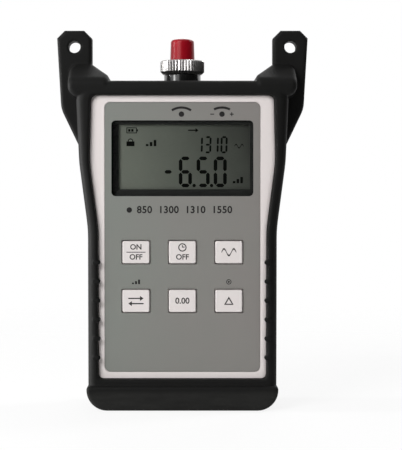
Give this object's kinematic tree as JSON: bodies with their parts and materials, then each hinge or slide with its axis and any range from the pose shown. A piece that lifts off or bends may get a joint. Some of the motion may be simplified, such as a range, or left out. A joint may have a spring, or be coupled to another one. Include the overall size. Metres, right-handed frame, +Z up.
{
  "type": "optical power meter",
  "caption": "Handheld optical power meter with display, press keys, capped screw-on fibre port and strap ears, held in a rubber boot that stands on its base.",
  "frame": {"origin": "on the floor under the middle of the boot's flat base, in the plane where the case halves meet", "axes": "+Z up, -Y out of the display towards the user, +X to the user's right"},
  "size_m": [0.1072, 0.04, 0.1606],
  "materials": {
    "boot_rubber": "satin",
    "case_plastic": "matte",
    "panel_film": "matte",
    "lens_clear": "polished",
    "bezel_black": "matte",
    "lcd_cell": "polished",
    "strip_rubber": "matte",
    "board_green": "satin",
    "switch_black": "matte",
    "screw_steel": "satin",
    "contact_steel": "satin",
    "cell_wrap": "gloss",
    "port_black": "gloss",
    "nut_chrome": "polished",
    "detector_metal": "satin",
    "adapter_metal": "satin",
    "cap_red": "satin",
    "jack_black": "satin",
    "key_plastic": "matte"
  },
  "bodies": {
    "meter": {"boot": "boot_rubber", "front_case": "case_plastic", "rear_case": "case_plastic", "panel_overlay": "panel_film", "display_lens": "lens_clear", "lcd_bezel": "bezel_black", "lcd_glass": "lcd_cell", "contact_strips": "strip_rubber", "main_board": "board_green", "key_switches": "switch_black", "controller_chip": "switch_black", "board_screws": "screw_steel", "case_screws": "screw_steel", "cell_left": "cell_wrap", "cell_right": "cell_wrap", "bridge_contact": "contact_steel", "terminal_contacts": "contact_steel", "port_barrel": "port_black", "port_nut": "screw_steel", "photodiode": "detector_metal", "dc_jack": "jack_black"},
    "power_key": {"key_power": "key_plastic"},
    "auto_off_key": {"key_auto_off": "key_plastic"},
    "wavelength_key": {"key_wavelength": "key_plastic"},
    "units_key": {"key_units": "key_plastic"},
    "zero_key": {"key_zero": "key_plastic"},
    "reference_key": {"key_reference": "key_plastic"},
    "door": {"battery_door": "case_plastic"},
    "adapter": {"adapter_body": "adapter_metal"},
    "nut": {"coupling_nut": "nut_chrome"},
    "cap": {"dust_cap": "cap_red"}
  },
  "joints": [
    {"name": "power_press", "type": "slide", "parent": "meter", "child": "power_key", "axis": [0, 1, 0], "range_m": [0, 0.0008], "stiffness_N_per_m": 200, "springref_m": -0.0005},
    {"name": "auto_off_press", "type": "slide", "parent": "meter", "child": "auto_off_key", "axis": [0, 1, 0], "range_m": [0, 0.0008], "stiffness_N_per_m": 200, "springref_m": -0.0005},
    {"name": "wavelength_press", "type": "slide", "parent": "meter", "child": "wavelength_key", "axis": [0, 1, 0], "range_m": [0, 0.0008], "stiffness_N_per_m": 200, "springref_m": -0.0005},
    {"name": "units_press", "type": "slide", "parent": "meter", "child": "units_key", "axis": [0, 1, 0], "range_m": [0, 0.0008], "stiffness_N_per_m": 200, "springref_m": -0.0005},
    {"name": "zero_press", "type": "slide", "parent": "meter", "child": "zero_key", "axis": [0, 1, 0], "range_m": [0, 0.0008], "stiffness_N_per_m": 200, "springref_m": -0.0005},
    {"name": "reference_press", "type": "slide", "parent": "meter", "child": "reference_key", "axis": [0, 1, 0], "range_m": [0, 0.0008], "stiffness_N_per_m": 200, "springref_m": -0.0005},
    {"name": "door_swing", "type": "hinge", "parent": "meter", "child": "door", "pos_m": [0, 0.0135, 0.0235], "axis": [-1, 0, 0], "range_deg": [0, 90]},
    {"name": "adapter_lift", "type": "slide", "parent": "meter", "child": "adapter", "axis": [0, 0, 1], "range_m": [0, 0.003]},
    {"name": "nut_turn", "type": "hinge", "parent": "adapter", "child": "nut", "pos_m": [0, 0, 0.145], "axis": [0, 0, 1], "range_deg": [0, 1084]},
    {"name": "cap_pull", "type": "slide", "parent": "adapter", "child": "cap", "axis": [0, 0, 1], "range_m": [0, 0.04]}
  ],
  "couplings": [
    {"joint": "nut_turn", "follows": "adapter_lift", "rad_per_m": 6283.2}
  ]
}
